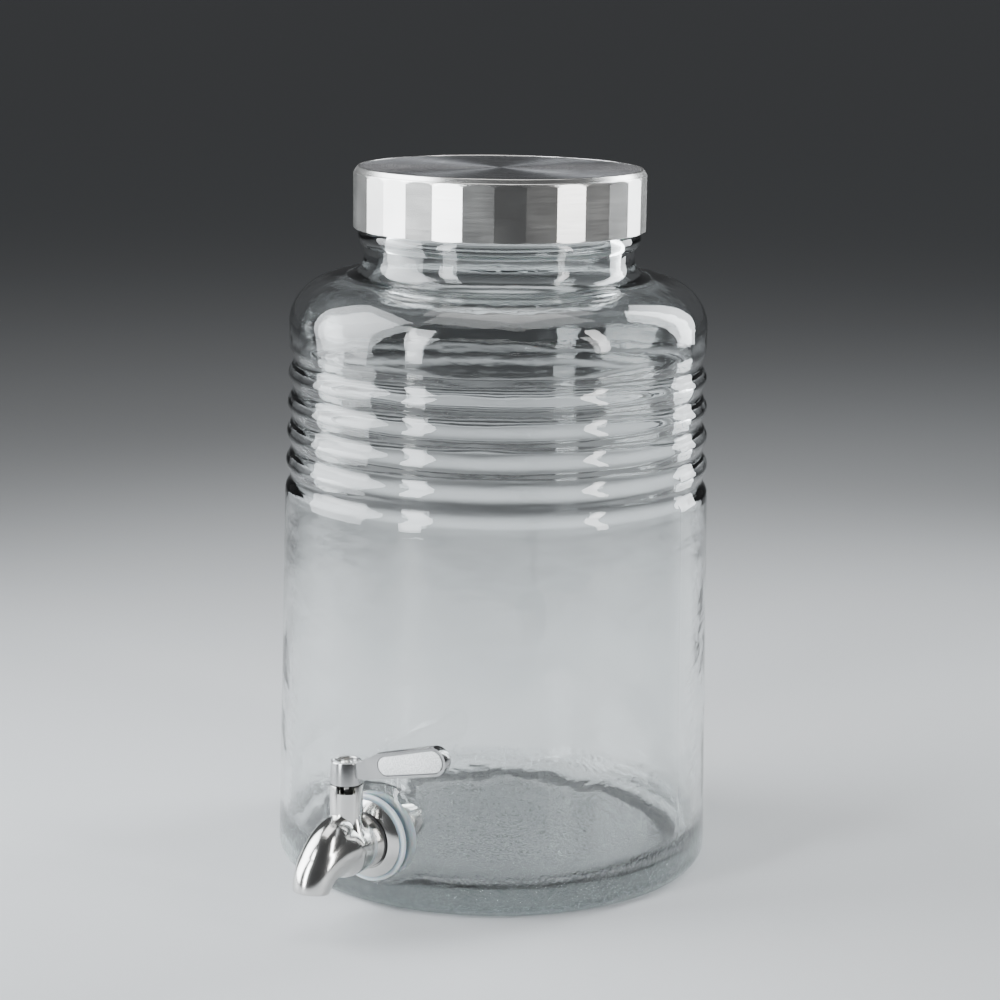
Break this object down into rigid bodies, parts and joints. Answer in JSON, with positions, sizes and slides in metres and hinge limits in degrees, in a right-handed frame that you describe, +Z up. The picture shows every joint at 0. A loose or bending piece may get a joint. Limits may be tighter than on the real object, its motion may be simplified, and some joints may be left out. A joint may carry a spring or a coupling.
{
  "type": "dispenser jar with tap",
  "caption": "Clear glass dispenser jar with ribbed upper body, faceted steel screw lid and a quarter-turn lever tap low on its front.",
  "frame": {"origin": "centre of the jar's base, on the plane that it stands on", "axes": "+Z up along the jar's axis, the tap faces -Y, and the closed lever points to +X"},
  "size_m": [0.1835, 0.2311, 0.2938],
  "materials": {
    "clear_glass": "clear soda-lime glass with a slight cool tint",
    "satin_steel": "satin stainless steel",
    "spun_steel": "stainless steel with a spun circular grain",
    "polished_steel": "polished stainless steel",
    "lever_steel": "fine satin stainless steel",
    "threaded_steel": "machined stainless steel",
    "silicone": "translucent bluish white silicone",
    "black_rubber": "black rubber",
    "liner_plastic": "white moulded plastic",
    "pad_plastic": "pale grey finely grained matt plastic"
  },
  "bodies": {
    "jar": {"glass_jar": "clear_glass", "tap_body": "polished_steel", "spout": "polished_steel", "threaded_shank": "threaded_steel", "flange": "polished_steel", "flange_seal": "black_rubber", "outer_washer": "silicone", "inner_washer": "silicone", "lock_nut": "threaded_steel", "seat_sleeve": "liner_plastic", "gland_bush": "threaded_steel"},
    "seal": {"lid_gasket": "silicone"},
    "lid": {"lid_band": "satin_steel", "lid_top_plate": "spun_steel", "lid_liner": "liner_plastic"},
    "lever": {"valve_plug": "threaded_steel", "stem_o_rings": "black_rubber", "lever_handle": "lever_steel", "lever_pad_front": "pad_plastic", "lever_pad_back": "pad_plastic", "cap_screw": "threaded_steel", "stop_pin": "threaded_steel"}
  },
  "joints": [
    {"name": "lid_lift", "type": "slide", "parent": "jar", "child": "seal", "axis": [0, 0, 1], "range_m": [0, 0.032]},
    {"name": "lid_turn", "type": "hinge", "parent": "seal", "child": "lid", "pos_m": [0, 0, 0.28], "axis": [0, 0, 1], "range_deg": [0, 1440]},
    {"name": "lever_turn", "type": "hinge", "parent": "jar", "child": "lever", "pos_m": [0, -0.1083, 0.0565], "axis": [0, 0, 1], "range_deg": [-90, 0]}
  ],
  "couplings": [
    {"joint": "lid_lift", "follows": "lid_turn", "m_per_rad": 0.0012732}
  ]
}
